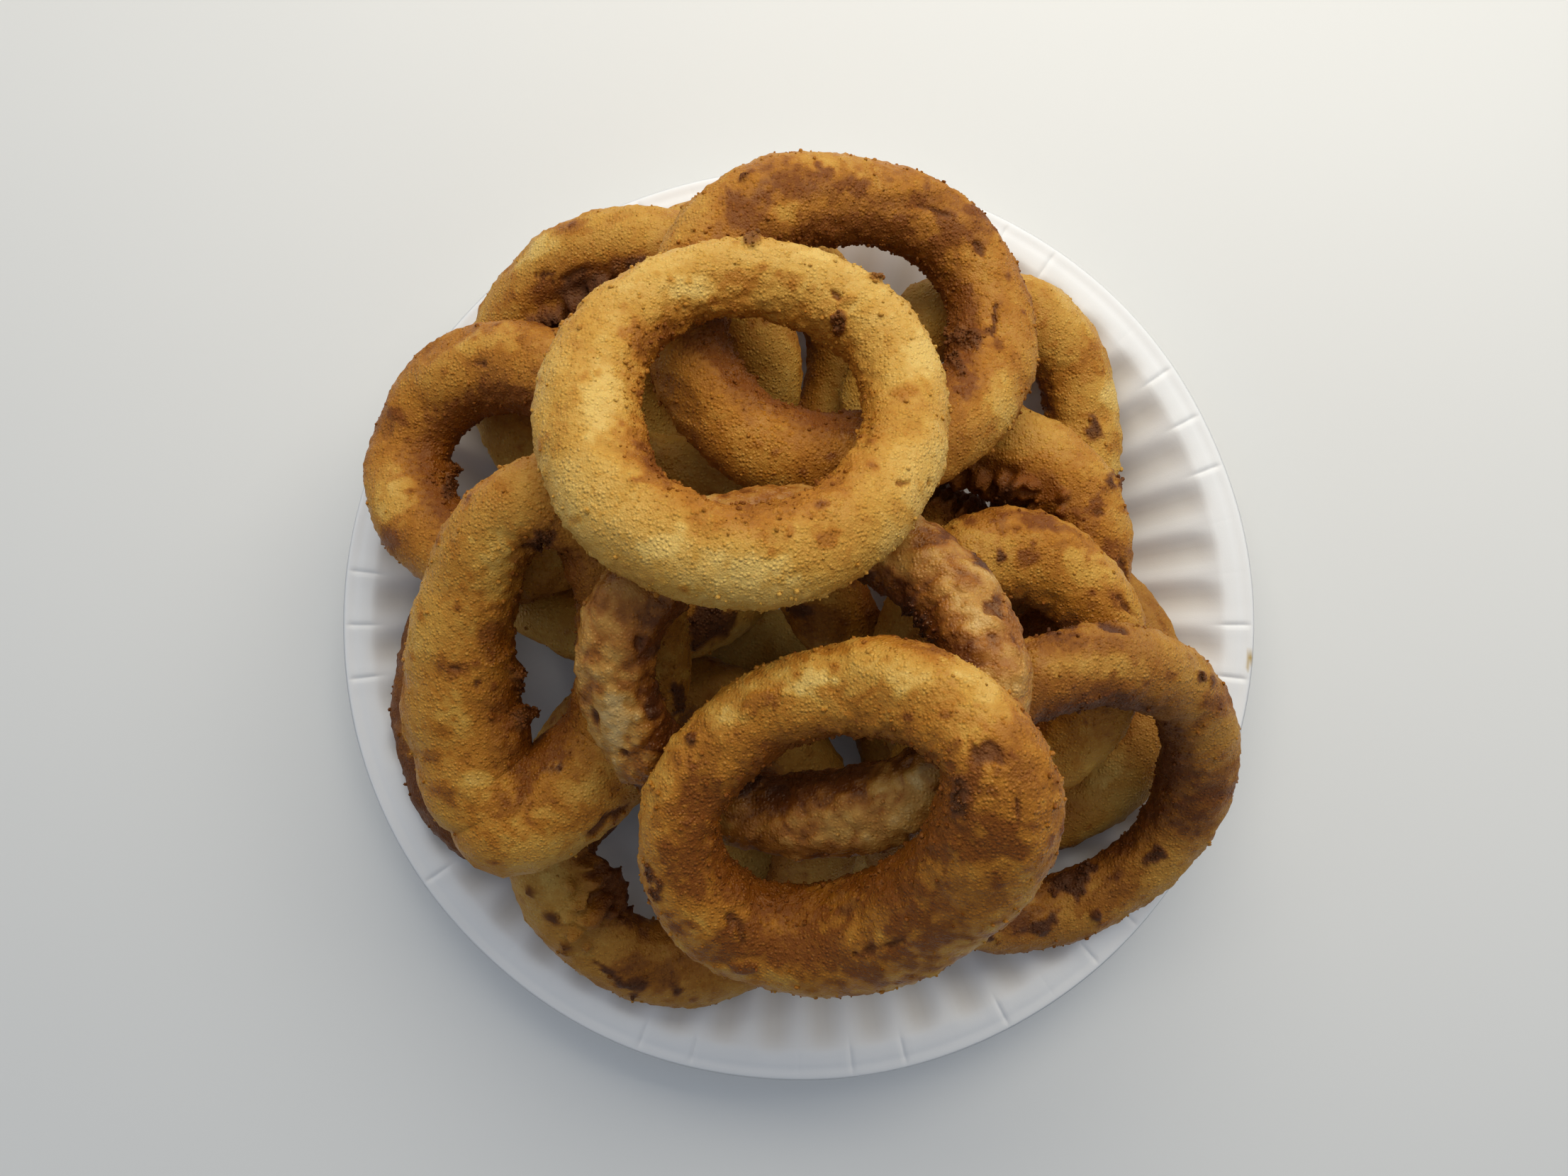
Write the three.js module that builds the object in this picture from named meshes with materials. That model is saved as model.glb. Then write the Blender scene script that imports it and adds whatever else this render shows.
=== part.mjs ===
// A side of fried onion rings heaped on a round fluted paper plate.
// Millimetres, +Z up. The origin is the centre of the plate's flat underside.
// Each ring is one battered and crumbed hoop of onion. The rings are laid on the plate one
// after another, from the lowest to the topmost, and each sinks until it rests on what lies under it.

import * as THREE from "three";

const FULL_TURN = 2 * Math.PI;

// The plate: pressed white paper, flat in the middle, with a fluted wall and a narrow brim.
const PLATE_RADIUS = 114.5;
const BASE_RADIUS = 75;
const BRIM_RADIUS = 106.5;
const PLATE_HEIGHT = 19.5;
const PAPER = 0.8;
const LIP_DROP = 1.4;
const FLUTES = 52;
const FLUTE_DEPTH = 1.7;
const STEPS_PER_FLUTE = 4;
const WALL_STEPS = 4;

// The heap, from the lowest ring to the topmost: the middle of each ring seen from above, its
// outside length and width, the turn of its length from +X in degrees, and the thickness of its tube.
// A ring with a heavy side, given as its bearing from +X, is thicker there by that share, and as
// much thinner opposite.
const RINGS = [
  { name: "ring_back_low", x: -16, y: 67.5, long: 75, wide: 74, turn: 0, thick: 19 },
  { name: "ring_left_low", x: -68.5, y: -18.5, long: 88, wide: 65, turn: 90, thick: 18.5 },
  { name: "ring_right_low", x: 58, y: -19, long: 85, wide: 74, turn: 43, thick: 19 },
  { name: "ring_middle_low", x: -3, y: -33, long: 75, wide: 74, turn: 90, thick: 20 },
  { name: "ring_back_left", x: -41, y: 61, long: 82, wide: 75, turn: 0, thick: 18.5 },
  { name: "ring_back_right", x: 45, y: 48, long: 81, wide: 71, turn: 90, thick: 19 },
  { name: "ring_front_left", x: -28, y: -50.5, long: 88, wide: 84, turn: 100, thick: 20 },
  { name: "ring_inner_left", x: -40, y: 18.5, long: 73, wide: 57, turn: 0, thick: 18.5 },
  { name: "ring_right", x: 36, y: 17, long: 85, wide: 77, turn: 0, thick: 19 },
  { name: "ring_left", x: -68, y: 38, long: 69, wide: 65, turn: 0, thick: 20 },
  { name: "ring_inner_right", x: 47, y: -8.5, long: 71, wide: 64, turn: 90, thick: 20 },
  { name: "ring_front_right", x: 58, y: -39, long: 90, wide: 79, turn: 29, thick: 17 },
  { name: "ring_long_left", x: -55, y: -6.5, long: 91, wide: 60.5, turn: 82, thick: 23,
    heavy: 0.16, heavySide: 272 },
  { name: "ring_back_top", x: 10, y: 67, long: 90, wide: 81, turn: 8, thick: 20 },
  { name: "ring_wide_middle", x: -1, y: -8, long: 91, wide: 77, turn: 0, thick: 17 },
  { name: "ring_topmost", x: -10.5, y: 44.5, long: 83, wide: 77, turn: 10, thick: 18.5,
    heavy: 0.11, heavySide: 225 },
  { name: "ring_front_top", x: 5.4, y: -36.6, long: 83.5, wide: 70.5, turn: 34, thick: 20,
    heavy: 0.2, heavySide: 310 },
];

// How unevenly a hoop of onion grows and batters: the wander of its line and of its thickness.
const LINE_WANDER = 0.018;
const TUBE_WANDER = 0.05;
const WANDER_WAVES = [2, 3, 4, 5];

// A hoop lies a little flatter than its tube is wide.
const FLATNESS = 0.78;

// How the heap packs: the clear gap between crusts, and how a soft ring sinks, tips and bends.
const CRUST_GAP = 0.6;
const SETTLE_POINTS = 56;
const SETTLE_ROUNDS = 1600;
const FIRST_SINK = 0.6;
const SINK_FADE = 0.996;
const BEND_EASE = 0.2;

// How finely the solids are faceted: steps round a ring, and sides round its tube.
const RING_STEPS = 28;
const TUBE_SIDES = 8;

const CRUST_COLOUR = 0xc98a3c;
const PAPER_COLOUR = 0xf2f1ec;

// A repeatable draw of numbers from 0 to 1, one series for each seed.
function drawFrom(seed) {
  let state = Math.imul(seed, 0x9e3779b9);
  return () => {
    state = (state + 0x6d2b79f5) | 0;
    let mixed = Math.imul(state ^ (state >>> 15), 1 | state);
    mixed = (mixed + Math.imul(mixed ^ (mixed >>> 7), 61 | mixed)) ^ mixed;
    return ((mixed ^ (mixed >>> 14)) >>> 0) / 4294967296;
  };
}

// A smooth closed wander round a ring, of about the given size, as a function of the angle.
function wanderOf(draw, size) {
  const waves = WANDER_WAVES.map((times) => {
    const phase = FULL_TURN * draw();
    const swing = (size * 2 * draw()) / times;
    return (angle) => swing * Math.cos(times * angle + phase);
  });
  return (angle) => waves.reduce((sum, wave) => sum + wave(angle), 0);
}

// The rise of the plate's wall at the crest of its flutes, from 0 at the base to 1 at the brim:
// it leaves the base in a soft curve and rounds over at the top.
function wallRise(radius) {
  const along = THREE.MathUtils.clamp((radius - BASE_RADIUS) / (BRIM_RADIUS - BASE_RADIUS), 0, 1);
  return 0.5 * along + 0.5 * THREE.MathUtils.smoothstep(along, 0, 1);
}

// The upper face of the plate at the crest of its flutes.
function plateTop(radius) {
  const pastBrim = Math.max(radius - BRIM_RADIUS, 0) / (PLATE_RADIUS - BRIM_RADIUS);
  return PAPER + (PLATE_HEIGHT - PAPER) * wallRise(radius) - LIP_DROP * pastBrim * pastBrim;
}

// How far a flute lies below that crest: rounded troughs with sharp crests between them,
// which deepen up the wall and end in a scallop under the brim.
function fluteDrop(radius, angle) {
  const along = (radius - BASE_RADIUS) / (BRIM_RADIUS - BASE_RADIUS);
  const up = THREE.MathUtils.smoothstep(along, 0, 0.6) * (1 - THREE.MathUtils.smoothstep(along, 0.85, 1));
  return FLUTE_DEPTH * up * Math.abs(Math.sin((FLUTES * angle) / 2));
}

// The plate is one skin of paper: a closed profile is turned round the axis, and its wall is then
// fluted.
function makePlate() {
  const wallStep = (BRIM_RADIUS - BASE_RADIUS) / WALL_STEPS;
  const wall = Array.from({ length: WALL_STEPS + 1 }, (_, i) => BASE_RADIUS + wallStep * i);
  const stations = [0, ...wall, (BRIM_RADIUS + PLATE_RADIUS) / 2, PLATE_RADIUS];
  const top = stations.map((radius) => new THREE.Vector2(radius, plateTop(radius)));
  const underside = stations.map((radius) => new THREE.Vector2(radius, plateTop(radius) - PAPER));
  const geometry = new THREE.LatheGeometry([...underside, ...top.reverse()], FLUTES * STEPS_PER_FLUTE);
  geometry.rotateX(Math.PI / 2);
  const place = geometry.getAttribute("position");
  for (let i = 0; i < place.count; i++) {
    const radius = Math.hypot(place.getX(i), place.getY(i));
    const angle = Math.atan2(place.getY(i), place.getX(i));
    place.setZ(i, place.getZ(i) - fluteDrop(radius, angle));
  }
  return geometry;
}

// A ring's line and thickness seen from above, as even steps of angle. Heights come when it settles.
function layOut(ring, seed) {
  const draw = drawFrom(seed);
  const lineWander = wanderOf(draw, LINE_WANDER);
  const tubeWander = wanderOf(draw, TUBE_WANDER);
  const turn = THREE.MathUtils.degToRad(ring.turn);
  const halfLong = (ring.long - ring.thick) / 2;
  const halfWide = (ring.wide - ring.thick) / 2;
  return Array.from({ length: SETTLE_POINTS }, (_, i) => {
    const angle = (FULL_TURN * i) / SETTLE_POINTS;
    const swell = 1 + lineWander(angle);
    const fromHeavy = angle + turn - THREE.MathUtils.degToRad(ring.heavySide ?? 0);
    const lean = (ring.heavy ?? 0) * Math.cos(fromHeavy);
    const along = halfLong * swell * Math.cos(angle);
    const across = halfWide * swell * Math.sin(angle);
    return {
      x: ring.x + along * Math.cos(turn) - across * Math.sin(turn),
      y: ring.y + along * Math.sin(turn) + across * Math.cos(turn),
      tube: (ring.thick / 2) * (1 + lean + tubeWander(angle)),
    };
  });
}

// The lowest height at which a point of a ring's line clears the plate.
function heightOnPlate({ x, y, tube }) {
  const radius = Math.hypot(x, y);
  const reach = tube + CRUST_GAP;
  let height = PAPER + FLATNESS * reach;
  for (let aside = -reach; aside <= reach; aside += reach / 12) {
    const under = Math.min(Math.abs(radius + aside), PLATE_RADIUS);
    const apart = reach * reach - (under - radius) ** 2;
    if (apart > 0) height = Math.max(height, plateTop(under) + FLATNESS * Math.sqrt(apart));
  }
  return height;
}

// The lowest height at which it clears the rings that already lie there.
function heightOnRings({ x, y, tube }, settled) {
  let height = 0;
  for (const other of settled.flat()) {
    const reach = tube + other.tube + CRUST_GAP;
    const apart = reach * reach - (x - other.x) ** 2 - (y - other.y) ** 2;
    if (apart > 0) height = Math.max(height, other.z + FLATNESS * Math.sqrt(apart));
  }
  return height;
}

// A ring sinks under its weight, tips and bends a little, until it rests on what is under it.
function settle(points, ring, settled) {
  const lowest = points.map((point) => Math.max(heightOnPlate(point), heightOnRings(point, settled)));
  const span = ring.long / 2;
  const moves = points.map(({ x, y }) => {
    const east = (x - ring.x) / span;
    const north = (y - ring.y) / span;
    return [1, east, north, east * east - north * north, 2 * east * north];
  });
  const ease = [1, 1, 1, BEND_EASE, BEND_EASE];
  const held = [Math.max(...lowest), 0, 0, 0, 0];
  const heightAt = (move) => move.reduce((sum, share, k) => sum + share * held[k], 0);
  let sink = FIRST_SINK;
  for (let round = 0; round < SETTLE_ROUNDS; round++) {
    held[0] -= sink;
    sink *= SINK_FADE;
    moves.forEach((move, i) => {
      const depth = lowest[i] - heightAt(move);
      if (depth <= 0) return;
      const give = move.reduce((sum, share, k) => sum + ease[k] * share * share, 0);
      move.forEach((share, k) => (held[k] += (ease[k] * share * depth) / give));
    });
  }
  held[0] += Math.max(...moves.map((move, i) => lowest[i] - heightAt(move)), 0);
  return points.map((point, i) => ({ ...point, z: heightAt(moves[i]) }));
}

// The crust of a ring: a torus whose vertices follow the ring's own line and thickness.
function makeRing(line) {
  const geometry = new THREE.TorusGeometry(1, 0.5, TUBE_SIDES, RING_STEPS);
  const place = geometry.getAttribute("position");
  const stride = line.length / RING_STEPS;
  const at = (i) => line[((i % line.length) + line.length) % line.length];
  const up = new THREE.Vector3(0, 0, 1);
  for (let step = 0; step <= RING_STEPS; step++) {
    const here = at((step % RING_STEPS) * stride);
    const before = at((step % RING_STEPS) * stride - 1);
    const after = at((step % RING_STEPS) * stride + 1);
    const rise = (after.z - before.z) / FLATNESS;
    const ahead = new THREE.Vector3(after.x - before.x, after.y - before.y, rise).normalize();
    const outward = new THREE.Vector3().crossVectors(ahead, up).normalize();
    const crown = new THREE.Vector3().crossVectors(outward, ahead);
    for (let side = 0; side <= TUBE_SIDES; side++) {
      const roll = (FULL_TURN * (side % TUBE_SIDES)) / TUBE_SIDES;
      const out = here.tube * Math.cos(roll);
      const over = here.tube * Math.sin(roll);
      const x = here.x + out * outward.x + over * crown.x;
      const y = here.y + out * outward.y + over * crown.y;
      const z = here.z + FLATNESS * over * crown.z;
      place.setXYZ(side * (RING_STEPS + 1) + step, x, y, z);
    }
  }
  return geometry;
}

const heap = new THREE.Group();
const paper = new THREE.MeshStandardMaterial({ color: PAPER_COLOUR, roughness: 0.85, metalness: 0 });
const plate = new THREE.Mesh(makePlate(), paper);
plate.name = "paper_plate";
heap.add(plate);

const settled = [];
RINGS.forEach((ring, order) => {
  const line = settle(layOut(ring, order + 1), ring, settled);
  settled.push(line);
  const crust = new THREE.MeshStandardMaterial({ color: CRUST_COLOUR, roughness: 0.75, metalness: 0 });
  const mesh = new THREE.Mesh(makeRing(line), crust);
  mesh.name = ring.name;
  heap.add(mesh);
});

export default heap;
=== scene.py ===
import itertools
import math

import bmesh
import bpy
import numpy as np
from mathutils.kdtree import KDTree
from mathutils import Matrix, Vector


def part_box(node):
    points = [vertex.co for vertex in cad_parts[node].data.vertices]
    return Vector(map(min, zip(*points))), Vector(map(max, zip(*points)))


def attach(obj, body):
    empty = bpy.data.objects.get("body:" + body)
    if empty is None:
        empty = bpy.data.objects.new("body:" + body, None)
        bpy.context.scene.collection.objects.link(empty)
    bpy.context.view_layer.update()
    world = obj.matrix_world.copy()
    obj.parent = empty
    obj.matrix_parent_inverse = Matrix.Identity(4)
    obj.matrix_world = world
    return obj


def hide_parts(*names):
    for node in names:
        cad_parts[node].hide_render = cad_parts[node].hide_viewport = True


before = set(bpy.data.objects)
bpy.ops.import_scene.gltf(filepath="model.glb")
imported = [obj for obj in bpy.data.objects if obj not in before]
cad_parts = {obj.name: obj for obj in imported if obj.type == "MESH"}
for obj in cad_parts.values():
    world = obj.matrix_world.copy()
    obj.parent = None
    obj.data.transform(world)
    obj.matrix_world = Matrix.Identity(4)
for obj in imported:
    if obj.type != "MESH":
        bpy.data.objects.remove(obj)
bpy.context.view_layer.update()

# The photographer's place: a phone held flat over the table, a little left of and behind the
# plate's middle, looking straight down through its wide lens.
MM = 0.001
LENS_ABOVE_TABLE = 314
LENS_RIGHT_OF_PLATE = -3.6
LENS_BEHIND_PLATE = 9.3
FILM_WIDTH = 36
LENS_LENGTH = 27.03
PICTURE_WIDTH = 2212
PICTURE_MIDDLE = (1106, 829.5)

phone = bpy.data.objects.new("phone", bpy.data.cameras.new("phone"))
bpy.context.scene.collection.objects.link(phone)
phone.location = (LENS_RIGHT_OF_PLATE * MM, LENS_BEHIND_PLATE * MM, LENS_ABOVE_TABLE * MM)
phone.data.sensor_width = FILM_WIDTH
phone.data.lens = LENS_LENGTH
phone.data.clip_start = 0.01
bpy.context.scene.camera = phone
bpy.context.scene.view_settings.view_transform = "Standard"


# The plate. One round of white paper board, pressed hot between dies: a flat middle, a wall of
# deep flutes that takes up the slack of the paper, and a narrow brim with its edge turned.
PLATE_RADIUS = 114.5
FLAT_RADIUS = 75
BRIM_RADIUS = 106.5
PLATE_HEIGHT = 19.5
PAPER = 0.8
LIP_DROP = 1.4
LIP_GROOVE_AT = 111.4
LIP_GROOVE = 0.22
LIP_BEAD_AT = 113.6
LIP_BEAD = 0.2
FLUTES = 52
FLUTE_DEPTH = 1.7
FLUTE_START = 17
FLUTE_END = 6.5
FLUTE_STEPS = np.array([0, 0.02, 0.05, 0.11, 0.22, 0.4, 0.6, 0.78, 0.89, 0.95, 0.98])
CREASE_DEPTH = 0.35
CREASE_WIDTH = 0.03
FLAT_CREASES = 0.55
BRIM_WAVE = 0.25
PAPER_WHITE = (0.84, 0.84, 0.845, 1)
PAPER_CLOUD = (0.80, 0.80, 0.80, 1)
# The grey-beige painted into the flute bowls as painted shade.
FLUTE_SHADE_PAPER = (0.72, 0.69, 0.65, 1)
CRUMB_ON_PAPER = (0.48, 0.32, 0.08, 1)

# Crumbs stuck to the turned edge: how far out, at how many degrees round, and how large.
FALLEN_CRUMBS = [(113.7, 356.0, 1.2), (113.6, 355.0, 1.0), (113.2, 354.4, 0.9)]


def eased(amount):
    """A smooth start and end between 0 and 1."""
    held = np.clip(amount, 0, 1)
    return held * held * (3 - 2 * held)


def hump(away, width):
    """A bell-shaped rise from 0 to 1 at its middle."""
    return np.exp(-((away / width) ** 2))


def plate_top(radius):
    """Height of the plate's upper face at the crest of its flutes."""
    up_wall = np.clip((radius - FLAT_RADIUS) / (BRIM_RADIUS - FLAT_RADIUS), 0, 1)
    over_brim = np.maximum(radius - BRIM_RADIUS, 0) / (PLATE_RADIUS - BRIM_RADIUS)
    rise = 0.5 * up_wall + 0.5 * eased(up_wall)
    return PAPER + (PLATE_HEIGHT - PAPER) * rise - LIP_DROP * over_brim**2


def flute_drop(radius, angle, draw):
    """How far each flute is pressed below its crests. Its outer end is round like a spoon."""
    place = angle / (2 * math.pi) * FLUTES
    which = np.floor(place).astype(int) % FLUTES
    aside = 2 * (place - np.floor(place)) - 1
    depth = FLUTE_DEPTH * (0.85 + 0.3 * draw[0][which])
    end = BRIM_RADIUS + 2.2 - 3.6 * aside**2 + 1.2 * (draw[1][which] - 0.5)
    bowl = 0.5 + 0.5 * np.cos(math.pi * aside)
    rises = eased((radius - FLAT_RADIUS) / FLUTE_START)
    return depth * bowl * rises * eased((end - radius) / FLUTE_END)


def brim_creases(radius, angle, draw):
    """Folds that run out over the brim from the crests, some sharp and some pressed flat."""
    place = angle / (2 * math.pi) * FLUTES
    near = np.round(place).astype(int) % FLUTES
    aside = place - np.round(place)
    sharp = np.where(draw[2][near] > FLAT_CREASES, 1.0, 0.25 * draw[2][near])
    shoulders = hump(np.abs(aside) - 3 * CREASE_WIDTH, 0.05)
    fold = sharp * (hump(aside, CREASE_WIDTH) - 0.5 * shoulders)
    wave = BRIM_WAVE * (0.5 * np.sin(7 * angle + 2) + 0.3 * np.sin(12 * angle))
    over_brim = (radius - BRIM_RADIUS) / (PLATE_RADIUS - BRIM_RADIUS)
    on_brim = eased((radius - BRIM_RADIUS + 2) / 3) * eased((PLATE_RADIUS - 0.6 - radius) / 2)
    return wave * over_brim * (over_brim > 0) - on_brim * CREASE_DEPTH * fold


def lip(radius):
    """The turned edge: a shallow groove, then a bead."""
    groove = LIP_GROOVE * hump(radius - LIP_GROOVE_AT, 0.9)
    return LIP_BEAD * hump(radius - LIP_BEAD_AT, 0.7) - groove


def grid_faces(around, across, rows):
    """The four-sided faces over the first rows of a grid of points that is closed around."""
    i, j = np.meshgrid(np.arange(around), np.arange(rows), indexing="ij")
    ahead, over = (i + 1) % around, (j + 1) % across
    corners = [i * across + j, ahead * across + j, ahead * across + over, i * across + over]
    corners = np.stack(corners, -1).reshape(-1)
    return corners, np.arange(0, corners.size, 4)


def mesh_of(name, spots, corners, starts):
    """An object from its points, each face's corners in turn, and where each face starts."""
    mesh = bpy.data.meshes.new(name)
    mesh.vertices.add(len(spots))
    mesh.vertices.foreach_set("co", (spots * MM).astype(np.float32).ravel())
    mesh.loops.add(len(corners))
    mesh.loops.foreach_set("vertex_index", corners.astype(np.int32))
    mesh.polygons.add(len(starts))
    mesh.polygons.foreach_set("loop_start", starts.astype(np.int32))
    mesh.update(calc_edges=True)
    mesh.shade_smooth()
    made = bpy.data.objects.new(name, mesh)
    bpy.context.scene.collection.objects.link(made)
    return made


def paint(piece, name, values):
    """Keeps a value for every point of a piece, such as its painted flute shade or its brownness.
    """
    layer = piece.data.attributes.new(name, "FLOAT", "POINT")
    layer.data.foreach_set("value", np.clip(values, 0, 1).astype(np.float32).ravel())


def close_middle(piece):
    """Joins the points that meet at the plate's middle, above and below."""
    joined = bmesh.new()
    joined.from_mesh(piece.data)
    bmesh.ops.remove_doubles(joined, verts=joined.verts, dist=0.001 * MM)
    joined.to_mesh(piece.data)
    joined.free()


def press_plate():
    """The sheet's profile, underside then top, is carried round and pressed into flutes."""
    draw = np.random.default_rng(52).random((3, FLUTES))
    angle = (np.arange(FLUTES)[:, None] + FLUTE_STEPS).ravel() * 2 * math.pi / FLUTES
    under = np.concatenate([[0, 40, 74], np.linspace(76, 106, 12), [109, 112, 113.6]])
    brim = np.linspace(PLATE_RADIUS, BRIM_RADIUS, 13)
    top = np.concatenate([brim, np.linspace(105.6, 76, 22), [74, 40, 0]])
    radius = np.concatenate([under, top])[None, :]
    is_top = np.concatenate([np.zeros(len(under)), np.ones(len(top))])[None, :]
    turn = angle[:, None]
    drop = flute_drop(radius, turn, draw)
    height = plate_top(radius) - drop + brim_creases(radius, turn, draw)
    height = np.maximum(height + lip(radius) - PAPER * (1 - is_top), 0)
    edge = np.minimum(radius + 0.12 * np.sin(9 * turn + 1) * (radius > 113), PLATE_RADIUS)
    grid = np.stack(np.broadcast_arrays(edge * np.cos(turn), edge * np.sin(turn), height), -1)
    sprinkled = np.zeros(drop.shape)
    for away, turned, size in FALLEN_CRUMBS:
        apart = np.hypot(radius - away, away * (turn - math.radians(turned)))
        sprinkled = np.maximum(sprinkled, is_top * eased((size - apart) / 0.8))
    around, across = grid.shape[:2]
    sheet = mesh_of("plate_paper", grid.reshape(-1, 3), *grid_faces(around, across, across - 1))
    # Painted shade: the flute bowls are painted greyer the deeper they are pressed.
    paint(sheet, "grease", drop / FLUTE_DEPTH * is_top)
    paint(sheet, "fallen_crumb", sprinkled)
    close_middle(sheet)
    return sheet


def node_maker(material):
    """Lays out a material's nodes. In make, _0 is a node's first socket and so on."""
    material.use_nodes = True
    tree = material.node_tree

    def make(kind, settings=None, **sockets):
        node = tree.nodes.new(kind)
        for name, value in (settings or {}).items():
            setattr(node, name, value)
        for name, value in sockets.items():
            socket = node.inputs[int(name[1:]) if name[1:].isdigit() else name.replace("_", " ")]
            if isinstance(value, bpy.types.NodeSocket):
                tree.links.new(value, socket)
            else:
                socket.default_value = value
        return node

    return make, tree


def paper_finish():
    """Uncoated paper board: near white, with faint fibres and a slight cloudiness."""
    material = bpy.data.materials.new("white_paper")
    make, tree = node_maker(material)
    surface = tree.nodes["Principled BSDF"]
    place = make("ShaderNodeTexCoord").outputs["Object"]
    cloud = make("ShaderNodeTexNoise", Vector=place, Scale=60.0, Detail=3.0).outputs[0]
    fibre = make("ShaderNodeTexNoise", Vector=place, Scale=2600.0, Detail=4.0, Roughness=0.7)
    fibre = fibre.outputs[0]
    tone = make("ShaderNodeMixRGB", Fac=cloud, Color1=PAPER_CLOUD, Color2=PAPER_WHITE).outputs[0]
    # Painted shade in the flute bowls, greyer where they are pressed deeper.
    bowl_shade = make("ShaderNodeAttribute", {"attribute_name": "grease"}).outputs["Fac"]
    bowl_shaded = make("ShaderNodeMixRGB", Fac=bowl_shade, Color1=tone, Color2=FLUTE_SHADE_PAPER).outputs[0]
    crumb = make("ShaderNodeAttribute", {"attribute_name": "fallen_crumb"}).outputs["Fac"]
    dirtied = make("ShaderNodeMixRGB", Fac=crumb, Color1=bowl_shaded, Color2=CRUMB_ON_PAPER).outputs[0]
    tree.links.new(dirtied, surface.inputs["Base Color"])
    relief = make("ShaderNodeBump", Height=fibre, Strength=0.25, Distance=0.00012).outputs[0]
    tree.links.new(relief, surface.inputs["Normal"])
    surface.inputs["Roughness"].default_value = 0.72
    surface.inputs["Specular IOR Level"].default_value = 0.3
    return material


plate = press_plate()
plate.data.materials.append(paper_finish())
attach(plate, "root")
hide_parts("paper_plate")


# The crumbed rings. Each is a hoop of onion dipped in batter, rolled in fine breadcrumbs and deep
# fried, so its crust is lumpy, gritty with crumbs, and browned unevenly. It is painted darkest
# inside the hoop, partly deeper browning and partly painted shade.
FLATNESS = 0.78
SECTION_SIDES = 8
TUBE_SPANS = (14, 26)
TUBE = 18.5
BOTH_TUBES = 38
WAVES = 10
COARSE_CRUMB = 2.1
FINE_CRUMB = 1.3
BATTER_LUMP = 19
GRAIN_SIZE = (0.09, 0.24)
GRAIN_SUNK = 0.3

# A loose crumb starts as a block of twenty triangles, two long between neighbouring corners.
GOLDEN = (1 + math.sqrt(5)) / 2
SIGNS = list(itertools.product((-1, 1), (-1, 1)))
GRAIN_SHAPE = [(a, b * GOLDEN, 0) for a, b in SIGNS]
GRAIN_SHAPE += [(0, a, b * GOLDEN) for a, b in SIGNS]
GRAIN_SHAPE += [(b * GOLDEN, 0, a) for a, b in SIGNS]
GRAIN_FACES = []
for a, b, c in itertools.combinations(range(len(GRAIN_SHAPE)), 3):
    one, two, three = (GRAIN_SHAPE[k] for k in (a, b, c))
    sides = (math.dist(one, two), math.dist(two, three), math.dist(one, three))
    if all(math.isclose(side, 2) for side in sides):
        faces_out = np.linalg.det([one, two, three]) > 0
        GRAIN_FACES.append((a, b, c) if faces_out else (a, c, b))

# How much browner each kind of mark makes the crust, and how far the plain ones stand up or sink.
MARK_BROWN = {
    "pale": -0.34, "brown": 0.30, "slit": 0.5, "swell": 0.2,
    "flap": 0.25, "crumb": 0.5, "burnt": 0.5, "clump": 0.5,
}
MARK_RISE = {"slit": -0.8, "swell": 5.0, "flap": 0.5}

# The gritty marks: how far they stand up, how burnt they are, how many loose crumbs they hold.
GRITTY_MARKS = {"crumb": (0.9, 0.55, 8), "burnt": (0.2, 0.82, 8), "clump": (2.0, 0.55, 40)}
SLIT_BURN = 0.45

# What the fryer left on each ring, and some patches of painted shade and painted light: its kind,
# where the phone sees it in pixels across and down the picture, its length and width in
# millimetres, and its tilt in degrees.
TOPMOST_MARKS = [
    ("brown", 1050, 392, 12, 6, 0), ("crumb", 1061, 339, 3.0, 2.6, 0),
    ("crumb", 1242, 387, 4.0, 2.6, 15), ("slit", 1181, 418, 3.2, 1.0, -50),
    ("flap", 1192, 424, 5.5, 2.0, 25), ("crumb", 1184, 454, 2.6, 4.6, 0),
    ("slit", 1286, 681, 5.6, 1.3, 6), ("brown", 1168, 759, 4.6, 3.4, 20),
    ("brown", 1113, 394, 6.5, 4.5, 10), ("brown", 1234, 660, 2.2, 1.6, 0),
    ("brown", 1280, 550, 6.0, 3.6, 10), ("brown", 1008, 427, 2.8, 2.4, 0),
    ("brown", 812, 733, 3.0, 2.2, 0), ("brown", 824, 530, 3.0, 1.2, 60),
    ("brown", 915, 480, 12, 8, -40), ("brown", 921, 645, 5, 12, 0),
    # The pale patch at 975 across is pale batter with a painted highlight of its oily sheen.
    ("brown", 1157, 713, 1.6, 1.4, 0), ("pale", 975, 405, 9, 5, -10),
    ("pale", 860, 560, 10, 14, 0), ("pale", 930, 775, 9, 5, 25), ("pale", 1180, 350, 12, 4, 15),
    ("crumb", 1203, 598, 3.6, 3.4, 0), ("pale", 1060, 800, 16, 6, 0),
    ("brown", 1270, 728, 4, 7, 20), ("pale", 1300, 500, 7, 9, 0),
]
BACK_TOP_MARKS = [
    ("brown", 1150, 255, 26, 9, 0), ("brown", 1375, 320, 22, 10, 35),
    ("slit", 1315, 295, 7.5, 2.0, -18), ("brown", 1202, 265, 6, 3.4, -10),
    ("brown", 1307, 263, 2.4, 2.2, 0), ("slit", 1383, 353, 4.6, 1.6, -60),
    ("slit", 1403, 452, 6, 0.8, 84), ("brown", 1409, 482, 3.5, 3.0, -40),
    ("crumb", 1368, 474, 9, 6, 0), ("brown", 1358, 431, 9, 9, 0), ("brown", 1222, 326, 26, 7, 0),
    ("crumb", 1051, 251, 3.6, 1.6, 35), ("brown", 1162, 240, 6, 3.4, 0),
    ("brown", 1050, 295, 12, 8, 30), ("brown", 1375, 293, 5, 4, 0),
    ("brown", 1345, 315, 10, 7, -30), ("pale", 1160, 233, 3, 1.6, 0),
    ("pale", 1110, 300, 8, 5, 0), ("brown", 1440, 330, 4, 9, 20), ("pale", 1420, 560, 8, 12, 0),
    ("brown", 1365, 545, 7, 5, 0), ("crumb", 1350, 510, 3, 5, 0),
]
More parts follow.
